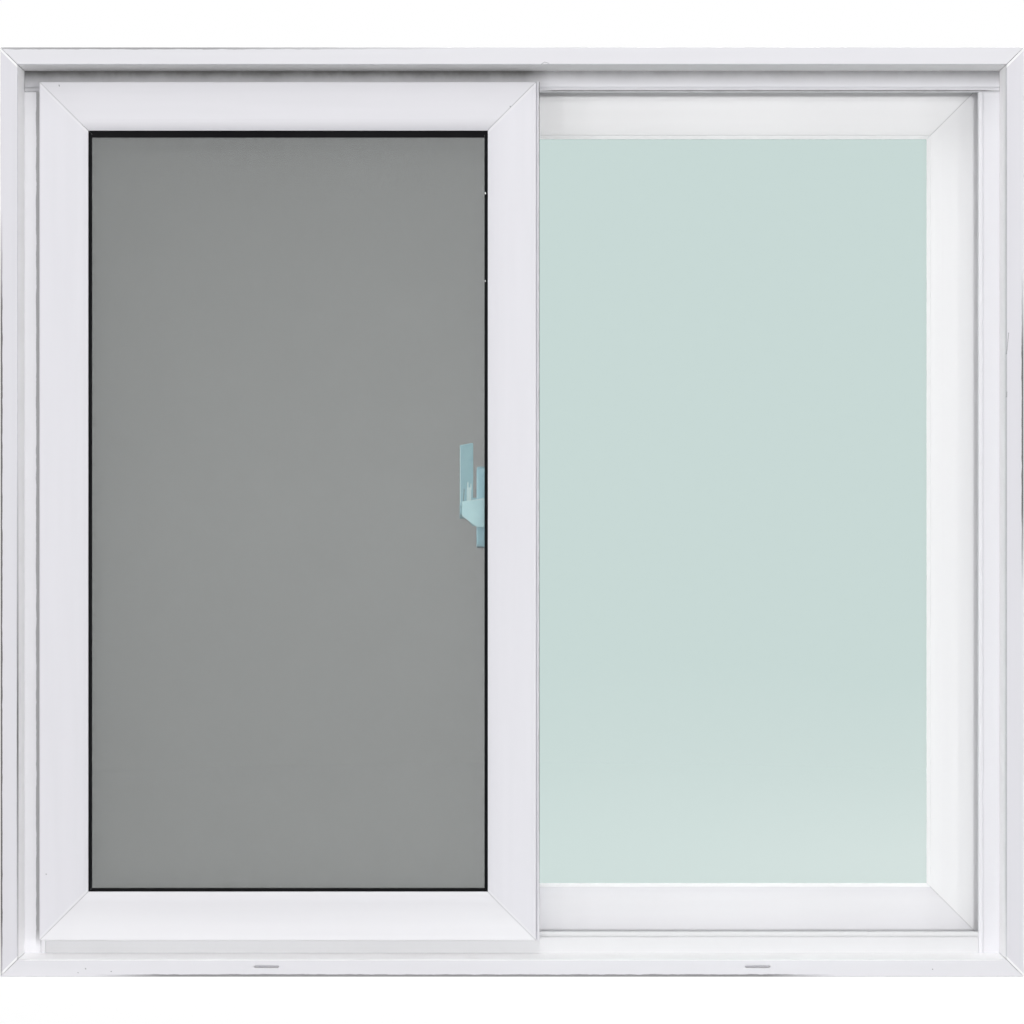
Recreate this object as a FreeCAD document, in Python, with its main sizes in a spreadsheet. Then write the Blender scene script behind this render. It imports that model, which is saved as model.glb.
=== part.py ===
import FreeCAD, Part
import os
import re
import Sketcher

# Two-panel sliding window in white uPVC: a mitred outer frame, two sashes on their own rails,
# an insect screen on a third rail and a crescent lock on the rear sash. Lengths are millimetres.
# X runs along the window, Y runs into the room, Z is up. The outside face looks along -Y.
# "Depth" is always counted from the outside face of the frame, "inward" from its outer edge.

SIZES = [
    ("window_width", 1200),
    ("window_height", 1090),
    ("frame_depth", 128),
    ("frame_face", 20),
    ("frame_wall", 22.5),
    ("frame_edge_radius", 1),
    ("channel_width", 24),
    ("channel_depth", 3),
    ("channel_inset", 18),
    ("frame_mitre_relief", 0.25),
    ("drain_length", 30),
    ("drain_height", 3.5),
    ("drain_depth", 10),
    ("drain_level", 12),
    ("drain_from_middle", 288),
    ("screen_track", 106),
    ("screen_clearance", 8),
    ("track_pitch", 40),
    ("rail_web", 5),
    ("rail_bead", 7),
    ("rail_bead_height", 5),
    ("rail_tip_radius", 1.5),
    ("rail_line_width", 1),
    ("rail_line_depth", 1.2),
    ("rail_height", 25),
    ("screen_rail_web", 3),
    ("screen_rail_height", 12),
    ("screen_rail_tip_radius", 0.9),
    ("rail_seat", 3),
    ("rail_fit", 0.2),
    ("sash_face", 57),
    ("sash_thickness", 32),
    ("sash_edge_radius", 1.5),
    ("sash_side_gap", 20),
    ("sash_top_gap", 15),
    ("sash_bottom_gap", 17),
    ("sash_mitre_relief", 0.12),
    ("groove_width", 17),
    ("groove_depth", 30),
    ("bevel_width", 13),
    ("bevel_drop", 4),
    ("lip_edge", 2),
    ("rebate_depth", 14),
    ("outer_gasket", 2),
    ("inner_gasket", 2),
    ("gasket_cover", 9),
    ("gasket_show", 4),
    ("gasket_lip_slope", 0.7),
    ("gasket_top_band", 4),
    ("glass_thickness", 5),
    ("glass_edge_gap", 4),
    ("bead_setback", 0.6),
    ("bead_slope", 7),
    ("bead_nose", 1.5),
    ("bead_nose_drop", 1),
    ("front_interlock", 4),
    ("rear_interlock", 3),
    ("interlock_setback", 0.8),
    ("interlock_tongue", 6),
    ("interlock_groove_width", 1.4),
    ("interlock_groove_depth", 5),
    ("interlock_edge_radius", 0.8),
    ("running_clearance", 5),
    ("roller_radius", 9.5),
    ("roller_tread_radius", 8),
    ("roller_width", 12),
    ("roller_groove", 8.5),
    ("roller_flank", 0.5),
    ("roller_headroom", 1.5),
    ("roller_gap", 0.3),
    ("roller_axle_radius", 2),
    ("roller_from_end", 110),
    ("housing_length", 44),
    ("housing_slot_length", 24),
    ("housing_slot_width", 13),
    ("screen_lap", 14.5),
    ("screen_face", 28),
    ("screen_thickness", 18),
    ("screen_gap", 6),
    ("screen_groove_width", 13),
    ("screen_groove_depth", 12),
    ("screen_mitre_relief", 0.12),
    ("mesh_seat", 9),
    ("mesh_recess", 1),
    ("mesh_thickness", 0.6),
    ("spline_width", 4),
    ("spline_depth", 4),
    ("spline_proud", 0.6),
    ("glide_length", 36),
    ("glide_from_end", 70),
    ("lock_height", 545),
    ("lock_pivot_depth", 7),
    ("lock_base_depth", 13),
    ("lock_base_width", 22),
    ("lock_base_length", 98),
    ("lock_base_rise", 5.5),
    ("lock_base_thickness", 11),
    ("lock_edge_radius", 2.5),
    ("lock_hub_radius", 8),
    ("lock_cam_radius", 17),
    ("lock_cam_length", 13),
    ("lock_cam_root", 7),
    ("lock_cam_tip", 4.3),
    ("lock_reach", 20),
    ("lever_width", 16),
    ("lever_thickness", 7),
    ("lever_top", 83),
    ("lever_top_slant", 3),
    ("lever_foot", 4),
    ("lever_edge_radius", 1.2),
    ("lever_rib_width", 9),
    ("lever_rib_low", 9),
    ("lever_rib_high", 33),
    ("lever_rib_corner", 4),
    ("lever_rib_proud", 1),
    ("keeper_thickness", 2),
    ("keeper_reach", 31),
    ("keeper_overlap", 18),
    ("keeper_rise", 20),
    ("keeper_drop", 18),
    ("keeper_top_slant", 7.5),
    ("keeper_corner_width", 17.5),
    ("keeper_corner_height", 13),
    ("keeper_cup", 6),
    ("keeper_cup_gap", 4),
    ("keeper_edge_radius", 1),
    ("keeper_play", 1.5),
    ("keeper_pocket_height", 23),
    ("keeper_pocket_corner", 7.5),
    ("keeper_pocket_depth", 6),
]

NAMES = {name for name, value in SIZES}

doc = FreeCAD.newDocument("sliding_window")
sheet = doc.addObject("Spreadsheet::Sheet", "Sizes")
for row, (name, value) in enumerate(SIZES, start=1):
    sheet.set(f"A{row}", name)
    sheet.set(f"B{row}", str(value))
    sheet.setAlias(f"B{row}", name)
doc.recompute()


def bound(formula):
    """A formula written in size names, as an expression on the sheet."""
    text = str(formula)
    return re.sub(r"[a-z_]+", lambda word: f"Sizes.{word[0]}" if word[0] in NAMES else word[0], text)


def value_of(formula):
    """The present value of a formula."""
    return float(sheet.evalExpression(bound(formula)))


def bind(item, prop, formula):
    item.setExpression(prop, bound(formula))


def origin_feature(body, role):
    return [feature for feature in body.Origin.OriginFeatures if feature.Role == role][0]


def new_body(name):
    return doc.addObject("PartDesign::Body", name)


def new_sketch(body, name, role):
    sketch = body.newObject("Sketcher::SketchObject", name)
    sketch.AttachmentSupport = [(origin_feature(body, role), "")]
    sketch.MapMode = "FlatFace"
    return sketch


def arc_middle(start, end, radius):
    """The middle of an arc from start to end that bulges to the left of the way walked."""
    chord = end - start
    half = chord.Length / 2
    left = FreeCAD.Vector(-chord.y, chord.x, 0).normalize()
    rise = radius - max(radius * radius - half * half, 0) ** 0.5
    return (start + end) / 2 + left * rise


def outline(sketch, corners):
    """Closed outline through corners given as (x formula, y formula) or (x, y, radius).

    A corner with a radius is reached by an arc that bulges to the left of the way walked;
    a half circle is held by its centre, which lies level with its ends.
    Every corner is held by its distances from the sketch origin, bound to the sheet.
    """
    points = [FreeCAD.Vector(value_of(corner[0]), value_of(corner[1]), 0) for corner in corners]
    count = len(corners)
    sides = []
    for index, corner in enumerate(corners):
        start = points[index - 1]
        end = points[index]
        if len(corner) == 3:
            radius = value_of(corner[2])
            side = sketch.addGeometry(Part.Arc(start, arc_middle(start, end, radius), end))
            first_is_start = (sketch.getPoint(side, 1) - start).Length < 1e-6
            sides.append((side, 1, 2) if first_is_start else (side, 2, 1))
            if abs(2 * radius - (end - start).Length) > 1e-6:
                held = sketch.addConstraint(Sketcher.Constraint("Radius", side, radius))
                bind(sketch, f"Constraints[{held}]", corner[2])
            else:
                upright = abs(end.x - start.x) < 1e-6
                kind = "DistanceX" if upright else "DistanceY"
                formula = corner[0] if upright else corner[1]
                held = sketch.addConstraint(Sketcher.Constraint(kind, -1, 1, side, 3, value_of(formula)))
                bind(sketch, f"Constraints[{held}]", formula)
        else:
            side = sketch.addGeometry(Part.LineSegment(start, end))
            sides.append((side, 1, 2))
    for index in range(count):
        side, first, last = sides[index]
        after, after_first, after_last = sides[(index + 1) % count]
        sketch.addConstraint(Sketcher.Constraint("Coincident", side, last, after, after_first))
    for index, corner in enumerate(corners):
        side, first, last = sides[index]
        for kind, formula in (("DistanceX", corner[0]), ("DistanceY", corner[1])):
            held = sketch.addConstraint(
                Sketcher.Constraint(kind, -1, 1, side, last, value_of(formula)))
            bind(sketch, f"Constraints[{held}]", formula)


def rectangle(left, bottom, right, top):
    return [(left, bottom), (right, bottom), (right, top), (left, top)]


def pad(body, name, sketch, length, side_type="One side", reverse=False):
    feature = body.newObject("PartDesign::Pad", name)
    feature.Profile = sketch
    feature.SideType = side_type
    feature.Reversed = reverse
    bind(feature, "Length", length)
    doc.recompute()
    return feature


def pocket_through(body, name, sketch):
    """A cut through everything, to both sides of the sketch."""
    feature = body.newObject("PartDesign::Pocket", name)
    feature.Profile = sketch
    feature.SideType = "Symmetric"
    feature.Type = "ThroughAll"
    doc.recompute()
    return feature


ACROSS = {"x": ("y", "z"), "z": ("x", "y")}


def long_edges(shape, axis, spots):
    """Names of the edges along an axis that pass through the given spots of the other two directions."""
    one, other = ACROSS[axis]
    found = []
    for number, edge in enumerate(shape.Edges, start=1):
        first = edge.Vertexes[0].Point
        way = edge.Vertexes[-1].Point - first
        along = abs(getattr(way, axis)) > 1 and abs(getattr(way, one)) + abs(getattr(way, other)) < 1e-6
        place = (getattr(first, one), getattr(first, other))
        if along and any(abs(place[0] - a) + abs(place[1] - b) < 1e-4 for a, b in spots):
            found.append(f"Edge{number}")
    return found


def round_edges(body, name, feature, edges, radius):
    fillet = body.newObject("PartDesign::Fillet", name)
    fillet.Base = (feature, edges)
    bind(fillet, "Radius", radius)
    doc.recompute()
    return fillet


def place(item, x, y, z, turn=0):
    """Stand an item at formulas for X, depth and Z, turned about the depth direction."""
    item.Placement = FreeCAD.Placement(
        FreeCAD.Vector(0, 0, 0), FreeCAD.Rotation(FreeCAD.Vector(0, 1, 0), turn))
    bind(item, "Placement.Base.x", x)
    bind(item, "Placement.Base.y", f"{y} - frame_depth / 2")
    bind(item, "Placement.Base.z", z)


# How far a cutting outline runs past the solid that it cuts.
CUT_MARGIN = 4


def bar(name, section, length, reach, relief=None, rounded=None, radius=None):
    """A bar with one section along X, cut at 45 degrees at both ends where a relief is given."""
    body = new_body(name)
    sketch = new_sketch(body, f"{name}_section", "YZ_Plane")
    outline(sketch, section)
    doc.recompute()
    feature = pad(body, f"{name}_pad", sketch, length, "Symmetric")
    if rounded:
        spots = [(value_of(y), value_of(z)) for y, z in rounded]
        feature = round_edges(body, f"{name}_edges", feature, long_edges(feature.Shape, "x", spots), radius)
    if relief is None:
        return body
    end = f"({length}) / 2 - {relief}"
    top = f"({reach}) + {CUT_MARGIN}"
    for tag, sign in (("right", ""), ("left", "-")):
        mitre = new_sketch(body, f"{name}_{tag}_mitre", "XZ_Plane")
        corners = [
            (f"{sign}({end} + {CUT_MARGIN})", f"-{CUT_MARGIN}"),
            (f"{sign}({end} + {top} + {CUT_MARGIN})", f"-{CUT_MARGIN}"),
            (f"{sign}({end} + {top} + {CUT_MARGIN})", top),
            (f"{sign}({end} - ({top}))", top),
        ]
        outline(mitre, corners)
        doc.recompute()
        pocket_through(body, f"{name}_{tag}_cut", mitre)
    return body


def ring(names, section, x_middle, z_bottom, width, height, depth, reach, relief, rounded=None, radius=None):
    """Four mitred bars around a rectangle, in the order bottom, left, top, right."""
    z_middle = f"{z_bottom} + ({height}) / 2"
    spots = [
        (x_middle, z_bottom, width, 0),
        (f"{x_middle} - ({width}) / 2", z_middle, height, 90),
        (x_middle, f"{z_bottom} + {height}", width, 180),
        (f"{x_middle} + ({width}) / 2", z_middle, height, -90),
    ]
    bars = []
    for name, (x, z, length, turn) in zip(names, spots):
        body = bar(name, section, length, reach, relief, rounded, radius)
        place(body, x, depth, z, turn)
        bars.append(body)
    return bars


def box(name, x, depth, z, length, thickness, height):
    item = doc.addObject("Part::Box", name)
    bind(item, "Length", length)
    bind(item, "Width", thickness)
    bind(item, "Height", height)
    place(item, x, depth, z)
    return item


def cut(name, base, tool):
    item = doc.addObject("Part::Cut", name)
    item.Base = base
    item.Tool = tool
    return item


def group(name, members):
    item = doc.addObject("Part::Compound", name)
    item.Links = members
    return item


NODES = {}

# Outer frame: one section for all four sides, with slots that hold the rails.
rear_track = "(screen_track - screen_thickness / 2 - screen_clearance - sash_thickness / 2)"
front_track = f"({rear_track} - track_pitch)"
floor = "frame_wall"
slot_floor = "(frame_wall - rail_seat)"


def rail_slot(track, web):
    half = f"({web} / 2 + rail_fit)"
    return [
        (f"{track} + {half}", floor),
        (f"{track} + {half}", slot_floor),
        (f"{track} - {half}", slot_floor),
        (f"{track} - {half}", floor),
    ]


frame_section = [
    ("0", "0"),
    ("channel_inset", "0"),
    ("channel_inset", "channel_depth"),
    ("channel_inset + channel_width", "channel_depth"),
    ("channel_inset + channel_width", "0"),
    ("frame_depth - channel_inset - channel_width", "0"),
    ("frame_depth - channel_inset - channel_width", "channel_depth"),
    ("frame_depth - channel_inset", "channel_depth"),
    ("frame_depth - channel_inset", "0"),
    ("frame_depth", "0"),
    ("frame_depth", "frame_face"),
    ("screen_track + screen_thickness / 2", floor),
]
frame_section += rail_slot("screen_track", "screen_rail_web")
frame_section += rail_slot(rear_track, "rail_web")
frame_section += rail_slot(front_track, "rail_web")
frame_section += [("0", "frame_face")]

frame_bars = ring(
    ["frame_sill", "frame_left_jamb", "frame_head", "frame_right_jamb"], frame_section,
    "0", "0", "window_width", "window_height", "0", floor, "frame_mitre_relief",
    rounded=[("0", "0"), ("0", "frame_face"), ("frame_depth", "0"), ("frame_depth", "frame_face")],
    radius="frame_edge_radius")
for body in frame_bars:
    NODES[body.Name] = body

# Two drain slots in the outside face of the sill.
sill = frame_bars[0]
drains = new_sketch(sill, "drain_outline", "XZ_Plane")
for sign in ("-", ""):
    middle = f"{sign}drain_from_middle"
    half = "(drain_length - drain_height) / 2"
    low = "drain_level - drain_height / 2"
    high = "drain_level + drain_height / 2"
    outline(drains, [
        (f"{middle} - {half}", high, "drain_height / 2"),
        (f"{middle} + {half}", high),
        (f"{middle} + {half}", low, "drain_height / 2"),
        (f"{middle} - {half}", low),
    ])
doc.recompute()
drain_cut = sill.newObject("PartDesign::Pocket", "drain_cut")
drain_cut.Profile = drains
drain_cut.Reversed = False
bind(drain_cut, "Length", "drain_depth")
doc.recompute()

# Rails stand in the slots: head rails between the jambs, jamb rails under them, sill rails between.
clear_width = "(window_width - 2 * frame_wall)"


def rail_section(web, bead, height):
    """A web with a wider cap, and a fine line on both sides where the cap is clipped on."""
    neck = f"{height} - rail_bead_height"
    half = [
        (f"{web} / 2", "-rail_seat"),
        (f"{web} / 2", f"{neck} - rail_line_width"),
        (f"{web} / 2 - rail_line_depth", f"{neck} - rail_line_width"),
        (f"{web} / 2 - rail_line_depth", neck),
        (f"{web} / 2", neck),
        (f"{bead} / 2", f"{neck} + ({bead} - {web}) / 2"),
        (f"{bead} / 2", height),
    ]
    return half + [(f"-({across})", up) for across, up in reversed(half)]


def plain_rail_section(web, height):
    return rectangle(f"-{web} / 2", "-rail_seat", f"{web} / 2", height)


TRACKS = [
    ("front", front_track, rail_section("rail_web", "rail_bead", "rail_height"), "rail_height",
     "rail_bead", "rail_tip_radius"),
    ("rear", rear_track, rail_section("rail_web", "rail_bead", "rail_height"), "rail_height",
     "rail_bead", "rail_tip_radius"),
    ("screen", "screen_track", plain_rail_section("screen_rail_web", "screen_rail_height"),
     "screen_rail_height", "screen_rail_web", "screen_rail_tip_radius"),
]
rails = {"head_rails": [], "sill_rails": [], "left_jamb_rails": [], "right_jamb_rails": []}
for tag, track, section, height, tip, tip_radius in TRACKS:
    tips = [(f"{tip} / 2", height), (f"-{tip} / 2", height)]
    jamb_length = f"(window_height - 2 * frame_wall - {height} - rail_fit)"
    spots = [
        ("head_rails", "0", "window_height - frame_wall", f"{clear_width} - 2 * rail_fit", 180),
        ("sill_rails", "0", floor, f"{clear_width} - 2 * ({height} + rail_fit)", 0),
        ("left_jamb_rails", f"-{clear_width} / 2", f"{floor} + {jamb_length} / 2", jamb_length, 90),
        ("right_jamb_rails", f"{clear_width} / 2", f"{floor} + {jamb_length} / 2", jamb_length, -90),
    ]
    for node, x, z, length, turn in spots:
        body = bar(f"{node}_{tag}", section, length, height, None, tips, tip_radius)
        place(body, x, track, z, turn)
        rails[node].append(body)
for node, members in rails.items():
    NODES[node] = group(node, members)

# Sashes: one mitred section with a groove that rides over the rails and a rebate for the glass.
sash_bottom = "(frame_wall + sash_bottom_gap)"
sash_height = "(window_height - 2 * frame_wall - sash_bottom_gap - sash_top_gap)"
sash_width = f"(({clear_width} - 2 * sash_side_gap + sash_face) / 2)"
groove_front = "(sash_thickness - groove_width) / 2"
groove_back = "(sash_thickness + groove_width) / 2"
web_inner = "(sash_face - rebate_depth)"
lip_back = "(bevel_drop + lip_edge)"
bevel_radius = "(bevel_drop ^ 2 + bevel_width ^ 2) / (2 * bevel_drop)"
glass_front = f"({lip_back} + outer_gasket)"
glass_back = f"({glass_front} + glass_thickness)"
bead_front = f"({glass_back} + inner_gasket)"
bead_back = "(sash_thickness - bead_setback)"

sash_section = [
    ("0", "0"),
    ("0", "sash_face - bevel_width"),
    ("bevel_drop", "sash_face", bevel_radius),
    (lip_back, "sash_face"),
    (lip_back, web_inner),
    ("sash_thickness", web_inner),
    ("sash_thickness", "0"),
    (groove_back, "0"),
    (groove_back, "groove_depth"),
    (groove_front, "groove_depth"),
    (groove_front, "0"),
]
sash_rounded = [("0", "0"), ("sash_thickness", "0")]

# Strips around the glass, each as a section that starts at the strip's own outer edge.
gasket_inset = "(sash_face - gasket_cover)"
gasket_edge = "(gasket_cover + gasket_show)"
outer_gasket_section = [
    ("0", "0"),
    ("0", "gasket_cover"),
    ("gasket_lip_slope", gasket_edge),
    ("outer_gasket", gasket_edge),
    ("outer_gasket", "0"),
]
inner_gasket_section = [
    ("0", "0"),
    ("0", "gasket_cover + gasket_show / 2"),
    ("inner_gasket", "gasket_cover"),
    ("inner_gasket", "0"),
]
bead_section = [
    ("0", "0"),
    ("0", "rebate_depth - bead_nose_drop"),
    ("bead_nose", "rebate_depth"),
    (f"{bead_back} - {bead_front}", "rebate_depth - bead_slope"),
    (f"{bead_back} - {bead_front}", "0"),
]
SIDES = ["bottom", "left", "top", "right"]


def glazed_sash(tag, member_names, x_middle, face_depth):
    """Four sash members with the glass, its gaskets and the beads that hold it; gives the outer gaskets."""
    members = ring(member_names, sash_section, x_middle, sash_bottom, sash_width, sash_height,
                   face_depth, "sash_face", "sash_mitre_relief", sash_rounded, "sash_edge_radius")
    for member in members:
        NODES[member.Name] = member

    def strips(kind, section, inset, reach, depth):
        names = [f"{tag}_{kind}_{side}" for side in SIDES]
        return ring(names, section, x_middle, f"{sash_bottom} + {inset}", f"({sash_width} - 2 * {inset})",
                    f"({sash_height} - 2 * {inset})", f"{face_depth} + {depth}", reach, "sash_mitre_relief")

    outer = strips("outer_gasket", outer_gasket_section, gasket_inset, gasket_edge, lip_back)
    inner = strips("inner_gasket", inner_gasket_section, gasket_inset, gasket_edge, glass_back)
    beads = strips("bead", bead_section, web_inner, "rebate_depth", bead_front)
    NODES[f"{tag}_outer_gasket"] = group(f"{tag}_outer_gasket", outer)
    NODES[f"{tag}_inner_gasket"] = group(f"{tag}_inner_gasket", inner)
    NODES[f"{tag}_glazing_beads"] = group(f"{tag}_glazing_beads", beads)
    edge = f"({web_inner} + glass_edge_gap)"
    NODES[f"{tag}_glass"] = box(
        f"{tag}_glass", f"{x_middle} - {sash_width} / 2 + {edge}", f"{face_depth} + {glass_front}",
        f"{sash_bottom} + {edge}", f"{sash_width} - 2 * {edge}", "glass_thickness",
        f"{sash_height} - 2 * {edge}")
    return outer


front_depth = f"({front_track} - sash_thickness / 2)"
rear_depth = f"({rear_track} - sash_thickness / 2)"
front_middle = f"(-{clear_width} / 2 + sash_side_gap + {sash_width} / 2)"
rear_middle = f"({clear_width} / 2 - sash_side_gap - {sash_width} / 2)"
front_edge = f"({front_middle} + {sash_width} / 2)"
rear_edge = f"({rear_middle} - {sash_width} / 2)"

front_gaskets = glazed_sash(
    "front", ["front_bottom_rail", "front_left_stile", "front_top_rail", "front_meeting_stile"],
    front_middle, front_depth)
glazed_sash(
    "rear", ["rear_bottom_rail", "rear_meeting_stile", "rear_top_rail", "rear_right_stile"],
    rear_middle, rear_depth)

# The front sash's upper gasket shows a deeper band than the other three, between the side gaskets.
upper_gasket = front_gaskets[SIDES.index("top")]
band = new_sketch(upper_gasket, "front_gasket_band", "YZ_Plane")
outline(band, rectangle("gasket_lip_slope", gasket_edge, "outer_gasket", f"{gasket_edge} + gasket_top_band"))
doc.recompute()
pad(upper_gasket, "front_gasket_band_pad", band,
    f"{sash_width} - 2 * (sash_face + gasket_show + rail_fit)", "Symmetric")


# Interlock strips close the outer grooves of the meeting stiles, notched over the rails at both ends.
# A fine groove on the outside face parts each strip from its stile.
def interlock(name, thickness, outward, edge, depth):
    body = new_body(name)
    plan = new_sketch(body, f"{name}_plan", "XY_Plane")
    tongue_front = f"{groove_front} + rail_fit"
    tongue_back = f"{groove_back} - rail_fit"
    cap_front = "interlock_setback"
    cap_back = "sash_thickness - interlock_setback"
    groove_floor = f"{cap_front} + interlock_groove_depth"
    outline(plan, [
        ("0", groove_floor),
        (f"{outward} * interlock_groove_width", groove_floor),
        (f"{outward} * interlock_groove_width", cap_front),
        (f"{outward} * {thickness}", cap_front),
        (f"{outward} * {thickness}", cap_back),
        ("0", cap_back),
        ("0", tongue_back),
        (f"-{outward} * interlock_tongue", tongue_back),
        (f"-{outward} * interlock_tongue", tongue_front),
        ("0", tongue_front),
    ])
    doc.recompute()
    strip = pad(body, f"{name}_pad", plan, sash_height)
    outer = value_of(f"{outward} * {thickness}")
    arrises = long_edges(strip.Shape, "z", [(outer, value_of(cap_front)), (outer, value_of(cap_back))])
    round_edges(body, f"{name}_edges", strip, arrises, "interlock_edge_radius")
    notch = new_sketch(body, f"{name}_notches", "YZ_Plane")
    low = "rail_height - sash_bottom_gap + running_clearance"
    high = f"{sash_height} - (rail_height - sash_top_gap + running_clearance)"
    outline(notch, rectangle(groove_front, f"-{CUT_MARGIN}", groove_back, low))
    outline(notch, rectangle(groove_front, high, groove_back, f"{sash_height} + {CUT_MARGIN}"))
    doc.recompute()
    pocket_through(body, f"{name}_notch_cut", notch)
    place(body, edge, depth, sash_bottom)
    NODES[name] = body


interlock("front_interlock_strip", "front_interlock", "1", front_edge, front_depth)
interlock("rear_interlock_strip", "rear_interlock", "-1", rear_edge, rear_depth)


# Rollers hang in the bottom groove, each wheel on its axle between the cheeks of a housing.
rail_top = "(frame_wall + rail_height)"
axle_level = f"({rail_top} + roller_gap + roller_tread_radius)"
groove_top = f"({sash_bottom} + groove_depth)"
housing_bottom = f"({rail_top} + running_clearance)"


def roller_set(tag, x_middle, track):
    housings = []
    wheels = []
    for side, sign in (("left", "-"), ("right", "+")):
        x = f"({x_middle} {sign} ({sash_width} / 2 - roller_from_end))"
        width = "(groove_width - 2 * rail_fit)"
        block = box(f"{tag}_{side}_block", f"{x} - housing_length / 2", f"{track} - {width} / 2",
                    housing_bottom, "housing_length", width, f"{groove_top} - {housing_bottom}")
        slot_bottom = f"({housing_bottom} - {CUT_MARGIN})"
        slot = box(f"{tag}_{side}_slot", f"{x} - housing_slot_length / 2",
                   f"{track} - housing_slot_width / 2", slot_bottom, "housing_slot_length",
                   "housing_slot_width", f"{axle_level} + roller_radius + roller_headroom - {slot_bottom}")
        bore = doc.addObject("Part::Cylinder", f"{tag}_{side}_bore")
        bind(bore, "Radius", "roller_axle_radius + rail_fit / 2")
        bind(bore, "Height", "groove_width")
        turned = FreeCAD.Rotation(FreeCAD.Vector(1, 0, 0), -90)
        bore.Placement = FreeCAD.Placement(FreeCAD.Vector(0, 0, 0), turned)
        bind(bore, "Placement.Base.x", x)
        bind(bore, "Placement.Base.y", f"{track} - groove_width / 2 - frame_depth / 2")
        bind(bore, "Placement.Base.z", axle_level)
        slotted = cut(f"{tag}_{side}_slotted", block, slot)
        housings.append(cut(f"{tag}_{side}_housing", slotted, bore))

        wheel = new_body(f"{tag}_{side}_wheel")
        profile = new_sketch(wheel, f"{tag}_{side}_wheel_profile", "XY_Plane")
        axle_end = "(groove_width / 2 - rail_fit)"
        outline(profile, [
            ("0", f"-{axle_end}"),
            ("roller_axle_radius", f"-{axle_end}"),
            ("roller_axle_radius", "-roller_width / 2"),
            ("roller_radius", "-roller_width / 2"),
            ("roller_radius", "-roller_groove / 2 - roller_flank"),
            ("roller_tread_radius", "-roller_groove / 2"),
            ("roller_tread_radius", "roller_groove / 2"),
            ("roller_radius", "roller_groove / 2 + roller_flank"),
            ("roller_radius", "roller_width / 2"),
            ("roller_axle_radius", "roller_width / 2"),
            ("roller_axle_radius", axle_end),
            ("0", axle_end),
        ])
        doc.recompute()
        turn = wheel.newObject("PartDesign::Revolution", f"{tag}_{side}_wheel_turn")
        turn.Profile = profile
        turn.ReferenceAxis = (origin_feature(wheel, "Y_Axis"), [""])
        turn.Angle = 360
        doc.recompute()
        place(wheel, x, track, axle_level)
        wheels.append(wheel)
    NODES[f"{tag}_roller_housings"] = group(f"{tag}_roller_housings", housings)
    NODES[f"{tag}_rollers"] = group(f"{tag}_rollers", wheels)


roller_set("front", front_middle, front_track)
roller_set("rear", rear_middle, rear_track)

# Insect screen: a slim mitred frame on the room-side rail, with the mesh pressed in by a spline.
screen_depth = "(screen_track - screen_thickness / 2)"
screen_bottom = "(frame_wall + screen_gap)"
screen_height = "(window_height - 2 * frame_wall - 2 * screen_gap)"
screen_width = f"({clear_width} / 2 - screen_gap + screen_lap)"
screen_middle = f"(-{clear_width} / 2 + screen_gap + {screen_width} / 2)"
seat_face = "(screen_thickness - mesh_recess)"
spline_inner = "(screen_face - mesh_seat)"
spline_outer = f"({spline_inner} - spline_width)"
screen_groove_front = "(screen_thickness - screen_groove_width) / 2"
screen_groove_back = "(screen_thickness + screen_groove_width) / 2"

screen_section = [
    ("0", "0"),
    ("0", "screen_face"),
    (seat_face, "screen_face"),
    (seat_face, spline_inner),
    (f"{seat_face} - spline_depth", spline_inner),
    (f"{seat_face} - spline_depth", spline_outer),
    ("screen_thickness", spline_outer),
    ("screen_thickness", "0"),
    (screen_groove_back, "0"),
    (screen_groove_back, "screen_groove_depth"),
    (screen_groove_front, "screen_groove_depth"),
    (screen_groove_front, "0"),
]
screen_bars = ring(
    ["screen_bottom_rail", "screen_left_stile", "screen_top_rail", "screen_right_stile"], screen_section,
    screen_middle, screen_bottom, screen_width, screen_height, screen_depth, "screen_face",
    "screen_mitre_relief")
for body in screen_bars:
    NODES[body.Name] = body

NODES["screen_mesh"] = box(
    "screen_mesh", f"{screen_middle} - {screen_width} / 2 + {spline_inner}", f"{screen_depth} + {seat_face}",
    f"{screen_bottom} + {spline_inner}", f"{screen_width} - 2 * {spline_inner}", "mesh_thickness",
    f"{screen_height} - 2 * {spline_inner}")

spline_bars = ring(
    [f"screen_spline_{side}" for side in SIDES],
    rectangle("0", "0", "spline_depth + spline_proud", "spline_width"),
    screen_middle, f"{screen_bottom} + {spline_outer}", f"({screen_width} - 2 * {spline_outer})",
    f"({screen_height} - 2 * {spline_outer})", f"{screen_depth} + {seat_face} - spline_depth",
    "spline_width", "screen_mitre_relief")
NODES["screen_spline"] = group("screen_spline", spline_bars)

glides = []
glide_bottom = "(frame_wall + screen_rail_height + roller_gap)"
for side, sign in (("left", "-"), ("right", "+")):
    x = f"({screen_middle} {sign} ({screen_width} / 2 - glide_from_end))"
    width = "(screen_groove_width - 2 * rail_fit)"
    glides.append(box(
        f"screen_{side}_glide", f"{x} - glide_length / 2", f"screen_track - {width} / 2", glide_bottom,
        "glide_length", width, f"{screen_bottom} + screen_groove_depth - {glide_bottom}"))
NODES["screen_glides"] = group("screen_glides", glides)

# Crescent lock on the edge of the rear meeting stile: a base, and a lever cast in one with hub and cam.
# Its depths are counted from the rear sash's outside face.
lock_face = f"({rear_edge} - rear_interlock)"

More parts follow.
